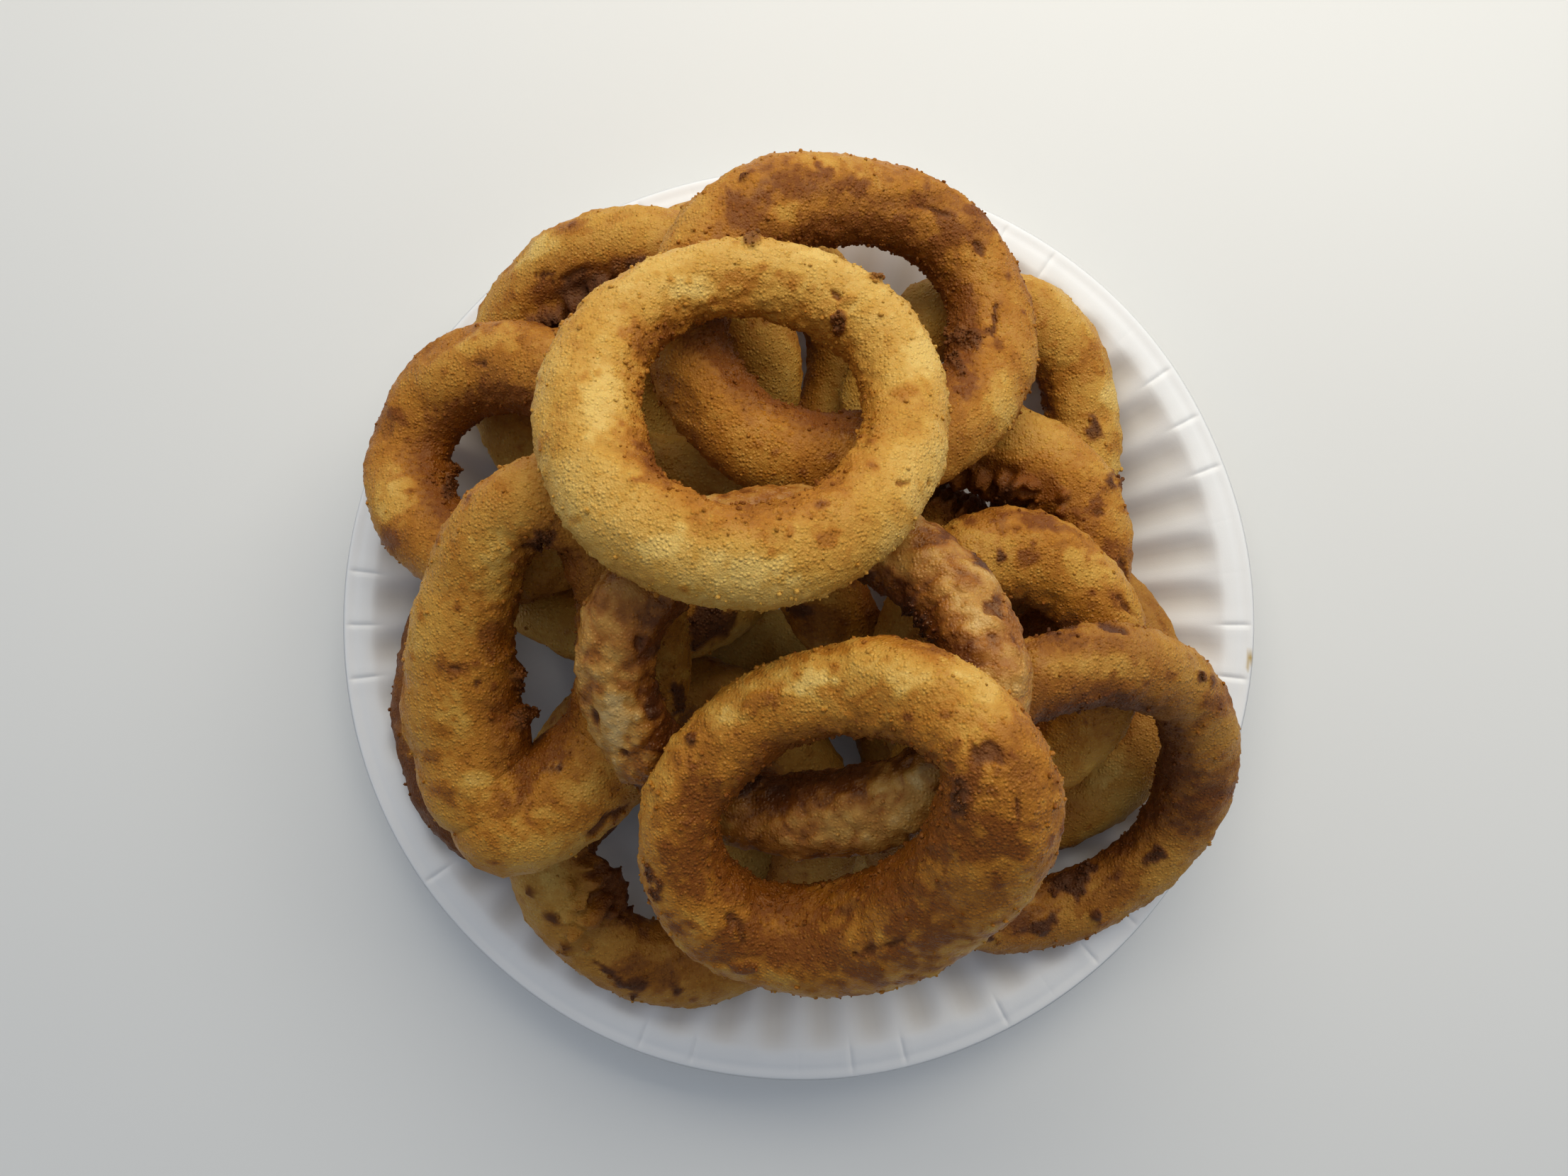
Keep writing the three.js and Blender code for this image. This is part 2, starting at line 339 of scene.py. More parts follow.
FRONT_TOP_MARKS = [
    # The large brown patches at 1445, 960, 1150 and 1350 across are painted shade on this ring's
    # lower, front part, where the light falls off.
    ("pale", 1200, 945, 30, 9, 5), ("brown", 1445, 1075, 14, 34, -5),
    ("brown", 960, 1180, 12, 34, 0), ("brown", 1150, 1345, 60, 14, 0),
    ("brown", 1350, 1290, 34, 14, 40), ("flap", 1070, 992, 9, 3.6, 22),
    ("brown", 1330, 1008, 3.4, 1.8, 0), ("slit", 1397, 1068, 5.5, 3.0, -25),
    ("slit", 1437, 1138, 1.2, 6, 0), ("burnt", 1351, 1126, 3.4, 8, 0),
    ("brown", 1320, 1140, 16, 20, 0), ("burnt", 927, 1259, 4.4, 4.0, 20),
    ("burnt", 912, 1232, 1.8, 4.2, 0), ("slit", 1031, 1299, 2.2, 2.4, 0),
    ("slit", 1046, 1320, 1.5, 6, 10), ("slit", 1098, 1284, 2.0, 1.2, 0),
    ("slit", 1259, 1332, 11, 1.5, 18), ("brown", 1228, 1243, 8, 5, 0),
    ("slit", 960, 1376, 4.2, 1.0, -15), ("brown", 968, 1317, 7, 5, 0),
    ("flap", 1050, 1368, 6, 2.4, 10), ("brown", 1094, 1352, 3.4, 3, 0),
    ("crumb", 978, 1040, 4, 2.6, 40), ("pale", 1385, 960, 14, 8, -35),
    ("pale", 1150, 960, 10, 4, 15), ("pale", 1030, 1010, 6, 5, 0),
    ("brown", 1330, 918, 20, 6, 0), ("pale", 980, 1310, 5, 4, 0),
]
LONG_LEFT_MARKS = [
    ("brown", 950, 950, 9, 26, 0), ("burnt", 955, 985, 3, 8, 0),
    ("burnt", 760, 762, 5.2, 4.4, 20), ("slit", 752, 770, 5, 1.4, 15),
    ("clump", 735, 961, 6.4, 8.5, 0), ("clump", 730, 1011, 4.4, 5.0, 0),
    ("brown", 645, 944, 4.6, 4, 0), ("slit", 642, 942, 2.4, 0.9, -30),
    ("brown", 626, 936, 3.4, 3, 0), ("slit", 673, 962, 2.0, 1.2, 40),
    ("brown", 695, 894, 6, 5, 0), ("burnt", 781, 1083, 3.6, 2.0, 10),
    ("brown", 787, 1064, 9, 4, 0), ("slit", 845, 1170, 4.4, 1.6, 35),
    ("slit", 868, 1151, 6, 1.2, 25), ("slit", 739, 1143, 1.8, 1.6, 0),
    ("brown", 630, 1118, 7, 4, -30), ("brown", 607, 1064, 6, 3, 0),
    ("brown", 630, 1030, 5, 4, 0), ("pale", 814, 1120, 10, 6, 0), ("pale", 668, 1099, 7, 4, 0),
    ("pale", 770, 1150, 12, 3, -10), ("brown", 740, 880, 5, 14, 0), ("pale", 640, 1010, 6, 9, 0),
    # The pale patch at 700 across is painted light on the ring's top, and the wide brown patch at
    # 790 across is painted shade on its bottom.
    ("pale", 700, 800, 10, 14, 0), ("brown", 790, 1150, 34, 12, 0),
]
INNER_RIGHT_MARKS = [
    # The long brown patch at 1370 across is painted shade in the gap between the rings.
    ("brown", 1370, 720, 30, 6, -10), ("brown", 1422, 742, 6, 4.4, 0),
    ("burnt", 1415, 784, 4, 3.4, 0), ("brown", 1450, 788, 6, 5, 0),
    ("brown", 1577, 844, 7, 5, -40), ("slit", 1594, 858, 5, 1.5, -50),
    ("slit", 1580, 842, 3, 1.4, -20), ("pale", 1530, 800, 14, 8, -35),
    ("brown", 1350, 725, 10, 3, -10), ("brown", 1480, 735, 14, 3, -20),
]
RIGHT_MARKS = [
    # The brown patch on the swell at 1360 across is painted shade in the gap between the rings.
    ("swell", 1360, 690, 36, 9, -8), ("brown", 1360, 690, 40, 12, -8),
    ("brown", 1545, 714, 5, 4, 0), ("slit", 1552, 722, 2.4, 1.2, 0),
    ("slit", 1538, 708, 2.0, 1.2, 30), ("brown", 1584, 718, 3, 3, 0),
    ("burnt", 1566, 679, 2.4, 4.4, 0), ("brown", 1573, 777, 6, 7, 0),
    ("brown", 1464, 686, 14, 7, -35), ("burnt", 1429, 693, 4, 6, 20),
    ("slit", 1586, 800, 1.2, 5, 10), ("crumb", 1580, 683, 3.6, 2.4, 0),
    ("brown", 1150, 880, 14, 12, 0), ("burnt", 1130, 860, 5, 4, 0),
]
LEFT_MARKS = [
    ("clump", 640, 662, 5.0, 8.0, 10), ("burnt", 632, 690, 3.4, 6, 0),
    ("brown", 640, 610, 9, 12, 20), ("brown", 700, 560, 16, 5, 10), ("brown", 560, 590, 5, 4, 0),
    ("pale", 560, 700, 8, 12, 0), ("brown", 545, 760, 5, 5, 0), ("pale", 690, 480, 12, 5, 10),
    ("slit", 678, 512, 2.2, 1.2, 0),
]
BACK_LEFT_MARKS = [
    ("swell", 800, 440, 22, 6, 30), ("burnt", 800, 440, 22, 7, 30),
    ("burnt", 905, 372, 9, 3.4, 10), ("brown", 880, 375, 20, 6, 10),
    ("slit", 800, 392, 12, 1.4, 18), ("slit", 760, 388, 6, 1.2, 5),
    ("burnt", 820, 405, 14, 5, 15), ("brown", 780, 410, 24, 6, 15), ("brown", 800, 318, 9, 4, 0),
    ("slit", 748, 320, 3, 1, 0), ("pale", 760, 350, 12, 5, 20),
]
BACK_RIGHT_MARKS = [
    # The brown patch on the swell at 1375 across is painted shade in the gap between the rings.
    ("swell", 1375, 705, 34, 12, 0), ("brown", 1375, 705, 40, 16, 0),
    ("brown", 1577, 630, 4, 6, 0), ("burnt", 1543, 603, 4, 7, 0),
    ("brown", 1540, 500, 10, 12, 0), ("brown", 1470, 560, 5, 12, 20),
    ("pale", 1570, 560, 6, 8, 0),
]
INNER_LEFT_MARKS = [
    ("brown", 1010, 500, 9, 7, 30), ("brown", 1060, 590, 14, 4, -35),
    ("pale", 1110, 640, 12, 5, 0), ("clump", 1195, 600, 3.2, 4.0, 0),
    # The burnt patch at 1000 across is painted shade where this ring lies deep in the hole of the
    # ring above it.
    ("brown", 960, 500, 8, 4, 20), ("burnt", 1000, 880, 14, 7, 30),
]


# The lattice of the unevenness is turned askew, so that no hoop lies along it.
ASKEW = np.array([(0.36, 0.48, -0.8), (-0.8, 0.6, 0), (0.48, 0.64, 0.6)])


def scatter(cell, seed):
    """A repeatable number from 0 to 1 for each whole-numbered cell."""
    mixed = cell[..., 0] * 73856093 ^ cell[..., 1] * 19349663 ^ cell[..., 2] * 83492791
    mixed = mixed ^ seed * 2654435761
    mixed = (mixed ^ (mixed >> 13)) * 1274126177 & 0xFFFFFFFF
    mixed = (mixed ^ (mixed >> 15)) * 2246822519 & 0xFFFFFFFF
    return ((mixed ^ (mixed >> 16)) & 0xFFFFFF) / 0xFFFFFF


def uneven(points, grain, seed):
    """Smooth unevenness from -1 to 1, whose humps are about one grain apart."""
    place = points @ ASKEW / grain
    cell = np.floor(place).astype(np.int64)
    share = place - cell
    share = share * share * (3 - 2 * share)
    total = 0
    for corner in np.ndindex(2, 2, 2):
        weight = np.prod(np.where(corner, share, 1 - share), axis=-1)
        total = total + weight * scatter(cell + corner, seed)
    return 2 * total - 1


def grit(points, grain, seed):
    """Round grains packed at random: how far up the nearest a point lies, and its draw."""
    place = points / grain
    cell = np.floor(place).astype(np.int64)
    nearest = np.full(points.shape[:-1], 9.0)
    draw = np.zeros(points.shape[:-1])
    for step in np.ndindex(3, 3, 3):
        other = cell + step - 1
        spot = other + np.stack([scatter(other, seed + k) for k in range(3)], -1)
        apart = np.linalg.norm(place - spot, axis=-1)
        closer = apart < nearest
        nearest = np.where(closer, apart, nearest)
        draw = np.where(closer, scatter(other, seed + 5), draw)
    return np.clip(1 - nearest / 0.75, 0, 1), draw


def waves_at(turn):
    """The smooth waves round a hoop of which its line and its thickness are made."""
    waves = [np.ones_like(turn)]
    for k in range(1, WAVES + 1):
        waves += [np.cos(k * turn), np.sin(k * turn)]
    return np.stack(waves, -1)


def hoop_of(node):
    """A hoop's line and half thickness as waves.

    Corners that face each other across the tube share a middle, and that is a point of the line.
    """
    corners = np.array([v.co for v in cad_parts[node].data.vertices]) / MM
    corners = np.unique(np.round(corners, 3), axis=0) / (1, 1, FLATNESS)
    one, other = np.triu_indices(len(corners), 1)
    span = np.linalg.norm(corners[one] - corners[other], axis=1)
    likely = (span > TUBE_SPANS[0]) & (span < TUBE_SPANS[1])
    middles = (corners[one] + corners[other])[likely] / 2
    half = span[likely] / 2
    tree = KDTree(len(middles))
    for k, middle in enumerate(middles):
        tree.insert(middle, k)
    tree.balance()
    alike = [sorted(near[1] for near in tree.find_range(middle, 0.01)) for middle in middles]
    pairs = SECTION_SIDES / 2
    paired = [same for k, same in enumerate(alike) if len(same) == pairs and k == same[0]]
    centres = np.array([middles[same].mean(0) for same in paired])
    reach = np.array([half[same].mean() for same in paired])
    aside = centres - centres.mean(0)
    order = np.argsort(np.arctan2(aside[:, 1], aside[:, 0]))
    waves = waves_at(np.arange(len(order)) / len(order) * 2 * math.pi)
    line = np.linalg.lstsq(waves, centres[order], rcond=None)[0]
    thickness = np.linalg.lstsq(waves, reach[order], rcond=None)[0]
    return line, thickness


def bare_hoop(node, spacing):
    """The smooth hoop as a grid: points, outward directions, and turns round the tube."""
    line, thickness = hoop_of(node)
    size = np.array(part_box(node)[1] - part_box(node)[0]) / MM
    around = int(math.pi * (size[0] + size[1] - BOTH_TUBES) / 2 / spacing)
    across = int(math.pi * TUBE / spacing)
    turn = np.linspace(0, 2 * math.pi, around, endpoint=False)
    here = waves_at(turn) @ line
    ahead = np.roll(here, -1, 0) - np.roll(here, 1, 0)
    ahead /= np.linalg.norm(ahead, axis=1, keepdims=True)
    outward = np.cross(ahead, (0, 0, 1))
    outward /= np.linalg.norm(outward, axis=1, keepdims=True)
    crown = np.cross(outward, ahead)
    roll = np.linspace(0, 2 * math.pi, across, endpoint=False)
    facing = np.cos(roll)[None, :, None] * outward[:, None]
    facing = facing + np.sin(roll)[None, :, None] * crown[:, None]
    points = here[:, None] + (waves_at(turn) @ thickness)[:, None, None] * facing
    facing = facing / (1, 1, FLATNESS)
    facing /= np.linalg.norm(facing, axis=-1, keepdims=True)
    return points * (1, 1, FLATNESS), facing, np.broadcast_to(roll, (around, across))


def mark_masks(points, facing, marks, seed):
    """For each mark, its kind and how much of it each point of the crust takes."""
    below_lens = LENS_ABOVE_TABLE - points[..., 2]
    pixels_per_mm = PICTURE_WIDTH * LENS_LENGTH / FILM_WIDTH / below_lens
    right = points[..., 0] - LENS_RIGHT_OF_PLATE
    ahead = points[..., 1] - LENS_BEHIND_PLATE
    ragged = 0.42 * uneven(points, 1.7, seed) + 0.3 * uneven(points, 3.6, seed + 1)
    for kind, across, down, long, wide, tilt in marks:
        aside = right - (across - PICTURE_MIDDLE[0]) / pixels_per_mm
        up = ahead + (down - PICTURE_MIDDLE[1]) / pixels_per_mm
        lean = math.radians(tilt)
        along = (aside * math.cos(lean) + up * math.sin(lean)) / long * 2
        athwart = (up * math.cos(lean) - aside * math.sin(lean)) / wide * 2
        spread = np.sqrt(along**2 + athwart**2) + ragged * (2.2 if kind == "slit" else 1.3)
        soft = 0.45 if kind in ("pale", "brown", "swell") else 0.3
        in_sight = facing[..., 2] > -0.25
        yield kind, eased((0.88 + soft - spread) / (2 * soft)) * in_sight


def stuck_grains(points, facing, chance, count, seed):
    """Coarse crumbs half sunk in the crust, more of them where the chance is higher."""
    dice = np.random.default_rng(seed)
    spots = dice.choice(chance.size, count, p=(chance / chance.sum()).ravel())
    size = GRAIN_SIZE[0] + GRAIN_SIZE[1] * dice.random((count, 1)) ** 3
    chipped = 1 + 0.35 * (dice.random((count, len(GRAIN_SHAPE), 3)) - 0.5)
    stretched = np.array(GRAIN_SHAPE)[None] * chipped * (0.75 + 0.5 * dice.random((count, 1, 3)))
    seat = points.reshape(-1, 3)[spots] + facing.reshape(-1, 3)[spots] * size * GRAIN_SUNK
    return seat[:, None] + stretched * size[:, None], spots


def coated(name, skin, grains, spots, brown, grain_brown, char):
    """The coat as a mesh. Each stuck crumb is about as brown as the spot that it sits on."""
    around, across = skin.shape[:2]
    corners, starts = grid_faces(around, across, across)
    first = around * across + len(GRAIN_SHAPE) * np.arange(len(grains))
    grain_corners = (first[:, None, None] + np.array(GRAIN_FACES)[None]).reshape(-1)
    starts = np.append(starts, corners.size + np.arange(0, grain_corners.size, 3))
    corners = np.append(corners, grain_corners)
    everything = np.concatenate([skin.reshape(-1, 3), grains.reshape(-1, 3)])
    piece = mesh_of(name, everything, corners, starts)
    own_brown = np.repeat(grain_brown.ravel()[spots], len(GRAIN_SHAPE))
    own_char = np.repeat(char.ravel()[spots], len(GRAIN_SHAPE))
    paint(piece, "brown", np.append(brown, own_brown))
    paint(piece, "burn", np.append(char, own_char))
    return piece


def crumbed_ring(node, seed, brown, spacing, marks, grains):
    """Crust laid on the smooth hoop: lumps of batter, then crumbs, then the colour of frying.

    That colour holds painted light and shade: darker inside the hoop and in the pits, paler on
    the outer wall and on the raised crumbs.
    """
    points, facing, roll = bare_hoop(node, spacing)
    inside = eased((-np.cos(roll) - 0.25 * np.sin(roll) + 0.05) / 0.95)
    outside = eased((np.cos(roll) - 0.55 * np.sin(roll) - 0.2) / 0.9)
    edge = np.maximum(inside, outside)

    lumps = 0.7 * uneven(points, BATTER_LUMP, seed) + 0.42 * uneven(points, 8, seed + 1)
    ridges = (0.1 + 0.22 * edge) * uneven(points, 3.2, seed + 2)
    ridges = ridges + 0.2 * edge * uneven(points, 1.7, seed + 12)
    pits = eased((uneven(points, 8.5, seed + 3) - 0.45) / 0.3)
    clumps = inside * np.abs(uneven(points, 4.5, seed + 4))
    coarse, coarse_draw = grit(points, COARSE_CRUMB, seed + 10)
    fine, fine_draw = grit(points, FINE_CRUMB, seed + 20)
    crumbs = 0.36 * coarse * (coarse_draw > 0.6) * coarse_draw + 0.34 * fine * fine_draw
    height = lumps + ridges + (0.6 + 1.2 * edge) * crumbs - 0.4 * pits + 0.6 * clumps - 0.25

    patch = uneven(points, 13, seed + 5) + 0.55 * uneven(points, 5.5, seed + 6)
    flake = uneven(points, 3.1, seed + 9) + 0.7 * uneven(points, 1.5, seed + 13) + 0.25 * patch
    freckle = coarse * (coarse_draw > 0.965)
    tone = brown + 0.13 * np.tanh(1.8 * patch) + 0.08 * uneven(points, 30, seed + 7)
    tone = tone + 0.11 * eased((flake - 0.42) / 0.4) - 0.08 * eased((-0.42 - flake) / 0.4)
    # The inner wall is browner, partly deeper frying and partly painted shade; the pits are
    # painted darker as painted shade.
    tone = tone + 0.27 * inside + 0.10 * outside + 0.14 * pits + 0.5 * freckle
    # Painted light and shade: the outer wall is painted paler and the inner wall darker, but not
    # below.
    tone = tone - 0.13 * np.cos(roll) * (np.sin(roll) > -0.3)
    char = 0.35 * eased((uneven(points, 6, seed + 8) - 0.5) / 0.3) * eased((clumps - 0.2) / 0.3)

    chance = 0.15 + 0.5 * inside + 1.2 * np.cos(roll) ** 6
    for kind, mask in mark_masks(points, facing, marks, seed + 40):
        tone = tone + MARK_BROWN[kind] * mask
        height = height + MARK_RISE.get(kind, 0) * mask
        if kind == "pale":
            height = height - 0.25 * mask * crumbs
        if kind == "slit":
            char = np.maximum(char, SLIT_BURN * mask)
        if kind in GRITTY_MARKS:
            rise, burn, loose = GRITTY_MARKS[kind]
            height = height + mask * (rise * 0.5 + rise * coarse + 0.4 * fine)
            char = np.maximum(char, mask * burn * (0.75 + 0.25 * fine_draw))
            chance = chance + loose * mask
    crust = points + height[..., None] * facing
    bits, spots = stuck_grains(crust, facing, chance, grains, seed + 50)
    # The raised crumbs are painted paler, a painted highlight on their tops.
    return coated(node + "_crust", crust, bits, spots, tone - 0.2 * crumbs, tone + 0.08, char)


SHADES_AT = (0.0, 0.35, 0.68, 1.0)
CHARRED = (0.060, 0.019, 0.008, 1)
OILY_SHINE = (1.0, 0.85, 0.62, 1.0)


def crust_finish(name, pale, golden, brown, deep, gloss=(0.38, 0.72), grit_depth=0.00038):
    """Fried crumb: colour from how brown it is, gritty in relief, with a faint shine of oil."""
    material = bpy.data.materials.new(name)
    make, tree = node_maker(material)
    surface = tree.nodes["Principled BSDF"]
    place = make("ShaderNodeTexCoord").outputs["Object"]
    fried = make("ShaderNodeAttribute", {"attribute_name": "brown"}).outputs["Fac"]
    charred = make("ShaderNodeAttribute", {"attribute_name": "burn"}).outputs["Fac"]
    speckle = make("ShaderNodeTexNoise", Vector=place, Scale=900.0, Detail=5.0, Roughness=0.75)
    speckle = speckle.outputs[0]
    crumb = make("ShaderNodeTexVoronoi", Vector=place, Scale=1350.0)
    dust = make("ShaderNodeTexVoronoi", Vector=place, Scale=2300.0).outputs["Distance"]
    draw = make("ShaderNodeSeparateColor", Color=crumb.outputs["Color"])
    near = crumb.outputs["Distance"]
    dome = make("ShaderNodeMapRange", Value=near, _1=0.0, _2=0.62, _3=1.0, _4=0.0).outputs[0]
    kept = make("ShaderNodeMapRange", Value=draw.outputs[0], _1=0.35, _2=0.55).outputs[0]
    crumbs = make("ShaderNodeMath", {"operation": "MULTIPLY"}, _0=dome, _1=kept).outputs[0]
    adding = {"operation": "MULTIPLY_ADD"}
    shift = make("ShaderNodeMath", adding, _0=speckle, _1=0.55, _2=fried).outputs[0]
    turned = make("ShaderNodeMapRange", Value=draw.outputs[1], _3=-0.14, _4=0.12).outputs[0]
    own = make("ShaderNodeMath", adding, _0=crumbs, _1=turned, _2=shift).outputs[0]
    level = make("ShaderNodeMath", {"operation": "SUBTRACT"}, _0=own, _1=0.28).outputs[0]
    ramp = make("ShaderNodeValToRGB", Fac=level)
    stops = ramp.color_ramp.elements
    for at, colour in zip(SHADES_AT, (pale, golden, brown, deep)):
        stop = stops[0] if at == 0.0 else stops[-1] if at == 1.0 else stops.new(at)
        stop.position = at
        stop.color = (*colour, 1)
    # Painted highlight and painted shade: the colour is lighter on the crumb tops, darker between
    # them.
    crumb_top_highlight = make("ShaderNodeMapRange", Value=crumbs, _3=0.93, _4=1.16).outputs[0]
    scaling = {"operation": "SCALE"}
    highlighted = make("ShaderNodeVectorMath", scaling, _0=ramp.outputs[0], Scale=crumb_top_highlight).outputs[0]
    burnt = make("ShaderNodeMixRGB", Fac=charred, Color1=highlighted, Color2=CHARRED).outputs[0]
    tree.links.new(burnt, surface.inputs["Base Color"])

    oil = make("ShaderNodeTexNoise", Vector=place, Scale=180.0, Detail=2.0).outputs[0]
    shine = make("ShaderNodeMapRange", Value=oil, _1=0.35, _2=0.7, _3=gloss[0], _4=gloss[1])
    tree.links.new(shine.outputs[0], surface.inputs["Roughness"])
    grain = make("ShaderNodeMath", adding, _0=dust, _1=-0.35, _2=crumbs).outputs[0]
    rough = make("ShaderNodeMath", adding, _0=speckle, _1=0.25, _2=grain).outputs[0]
    relief = make("ShaderNodeBump", Height=rough, Strength=0.9, Distance=grit_depth).outputs[0]
    tree.links.new(relief, surface.inputs["Normal"])
    surface.inputs["Specular IOR Level"].default_value = 0.32
    surface.inputs["Specular Tint"].default_value = OILY_SHINE
    surface.inputs["Subsurface Weight"].default_value = 0.12
    surface.inputs["Subsurface Radius"].default_value = (1.0, 0.45, 0.15)
    surface.inputs["Subsurface Scale"].default_value = 0.0015
    return material


GOLDEN_RINGS = {
    "ring_topmost": dict(brown=0.33, spacing=0.54, marks=TOPMOST_MARKS, grains=1500),
    "ring_back_top": dict(brown=0.73, spacing=0.60, marks=BACK_TOP_MARKS, grains=1500),
    "ring_front_top": dict(brown=0.63, spacing=0.57, marks=FRONT_TOP_MARKS, grains=1500),
    "ring_long_left": dict(brown=0.58, spacing=0.56, marks=LONG_LEFT_MARKS, grains=1200),
    "ring_inner_right": dict(brown=0.66, spacing=0.68, marks=INNER_RIGHT_MARKS, grains=360),
    "ring_right": dict(brown=0.66, spacing=0.73, marks=RIGHT_MARKS, grains=300),
    "ring_left": dict(brown=0.76, spacing=0.66, marks=LEFT_MARKS, grains=600),
    "ring_back_left": dict(brown=0.52, spacing=0.80, marks=BACK_LEFT_MARKS, grains=300),
    "ring_back_right": dict(brown=0.46, spacing=0.80, marks=BACK_RIGHT_MARKS, grains=220),
    "ring_inner_left": dict(brown=0.48, spacing=0.90, marks=INNER_LEFT_MARKS, grains=220),
    "ring_back_low": dict(brown=0.46, spacing=1.10, marks=[], grains=60),
}
golden_crust = crust_finish(
    "golden_crust",
    pale=(0.71, 0.465, 0.127),
    golden=(0.565, 0.295, 0.047),
    brown=(0.41, 0.154, 0.013),
    deep=(0.19, 0.050, 0.003),
)
for order, (node, look) in enumerate(GOLDEN_RINGS.items()):
    ring = crumbed_ring(node, 100 * order + 7, **look)
    ring.data.materials.append(golden_crust)
    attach(ring, "root")
    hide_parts(node)


# The rings that lie low in the heap and at its front. The same crumbed crust is painted darker on
# them, painted shade where the light falls off towards the front and under the heap, with dark
# burnt patches.
FRONT_RIGHT_MARKS = [
    ("burnt", 1500, 878, 9, 3.4, 12), ("brown", 1485, 902, 18, 7, 5),
    ("slit", 1566, 886, 9, 1.4, -12), ("brown", 1649, 955, 3.4, 2.6, 0),
    ("burnt", 1699, 958, 4, 3, -40), ("brown", 1720, 990, 6, 8, -30),
    ("burnt", 1510, 1245, 8.5, 7.5, 0), ("burnt", 1470, 1306, 9.0, 5.5, 15),
    ("burnt", 1630, 1206, 6, 4, 30), ("burnt", 1395, 1326, 6, 2.6, -15),
    ("brown", 1560, 1265, 16, 10, 25), ("brown", 1700, 1130, 12, 20, -20),
    ("pale", 1560, 940, 18, 6, -5), ("pale", 1455, 1270, 5, 3, 20),
    ("crumb", 1545, 1290, 4, 3, 0), ("burnt", 1540, 1225, 4, 3, 0),
    ("brown", 1440, 1300, 16, 8, 15),
]
FRONT_LEFT_MARKS = [
    ("swell", 872, 1225, 13, 30, -30), ("brown", 885, 1235, 12, 30, -30),
    ("burnt", 901, 1391, 6, 3.6, 15), ("burnt", 956, 1398, 4.4, 3.2, 0),
    ("burnt", 895, 1405, 2.6, 2.0, 0), ("burnt", 856, 1372, 9, 1.8, -38),
    ("burnt", 778, 1295, 5.4, 3.2, -55), ("brown", 915, 1378, 20, 9, -15),
    ("crumb", 796, 1338, 4, 3, -40), ("crumb", 750, 1256, 4, 2.6, -50),
    ("brown", 880, 1280, 5, 18, 35), ("pale", 800, 1250, 14, 20, 20),
]
LEFT_LOW_MARKS = [
    ("burnt", 668, 1211, 4, 2.2, -35), ("brown", 588, 1106, 5, 10, 25),
    ("brown", 625, 1170, 10, 7, -35), ("pale", 575, 1040, 4, 10, 10),
]
RIGHT_LOW_MARKS = [
    ("brown", 1500, 1040, 10, 8, 20), ("pale", 1560, 1080, 12, 9, 40),
]
MIDDLE_LOW_MARKS = [
    ("clump", 1035, 890, 9, 3.5, 10), ("brown", 1000, 960, 10, 6, 0),
    ("pale", 1010, 990, 6, 5, 0),
]
SHADED_RINGS = {
    "ring_front_right": dict(brown=0.55, spacing=0.66, marks=FRONT_RIGHT_MARKS, grains=700),
    "ring_front_left": dict(brown=0.46, spacing=0.80, marks=FRONT_LEFT_MARKS, grains=360),
    "ring_left_low": dict(brown=1.02, spacing=0.95, marks=LEFT_LOW_MARKS, grains=280),
    "ring_right_low": dict(brown=0.52, spacing=1.00, marks=RIGHT_LOW_MARKS, grains=100),
    "ring_middle_low": dict(brown=0.30, spacing=1.00, marks=MIDDLE_LOW_MARKS, grains=100),
}
# A darker copy of the golden crust: painted shade for the low and front rings.
browned_crust = crust_finish(
    "browned_crust",
    pale=(0.56, 0.34, 0.080),
    golden=(0.44, 0.205, 0.030),
    brown=(0.29, 0.100, 0.009),
    deep=(0.12, 0.030, 0.004),
)
for order, (node, look) in enumerate(SHADED_RINGS.items()):
    ring = crumbed_ring(node, 100 * order + 2011, **look)
    ring.data.materials.append(browned_crust)
    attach(ring, "root")
    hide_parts(node)


# The blistered ring. Most of its crumb came off in the fryer, so the bare batter has bubbled into
# blisters and wrinkles and shines with oil.
WIDE_MIDDLE_MARKS = [
    ("slit", 906, 1078, 7.5, 1.6, -22), ("brown", 906, 1108, 10, 6, 0),
    ("slit", 900, 1116, 6, 1.0, -10), ("slit", 902, 909, 1.8, 3.4, 0),
    ("slit", 837, 1018, 1.8, 3.0, 0), ("brown", 846, 970, 3.6, 4, 0),
    ("brown", 835, 928, 3.4, 3, 0), ("burnt", 921, 996, 2.6, 7, 0),
    ("clump", 1295, 882, 7.5, 7, 0), ("clump", 1262, 892, 9, 3.0, 0),
    ("clump", 1286, 856, 4, 5, 0), ("slit", 1408, 852, 3.2, 5.4, 15),
    ("burnt", 1391, 791, 6.4, 4.6, -35), ("brown", 1347, 749, 4, 3, 0),
    ("brown", 1315, 758, 7, 4, 0), ("burnt", 1226, 811, 4, 3, 0),
    ("burnt", 1178, 1046, 12, 2.4, 28), ("pale", 1228, 1056, 9, 4.6, 10),
    ("pale", 1256, 1098, 9, 8, 0), ("burnt", 1062, 1105, 8, 2.0, 40),
    ("brown", 1140, 1110, 20, 10, 15), ("pale", 870, 1010, 8, 16, 0),
    ("pale", 1385, 850, 8, 14, 0), ("brown", 1370, 930, 6, 10, 0),
    ("brown", 1240, 830, 12, 10, 0), ("brown", 940, 1050, 5, 8, 0),
]


BLISTER = 8.0
BUBBLE = 3.6
BLISTER_CRUMB = 1.5
BATTER_PALE = -0.36
BATTER_BURN = 0.85


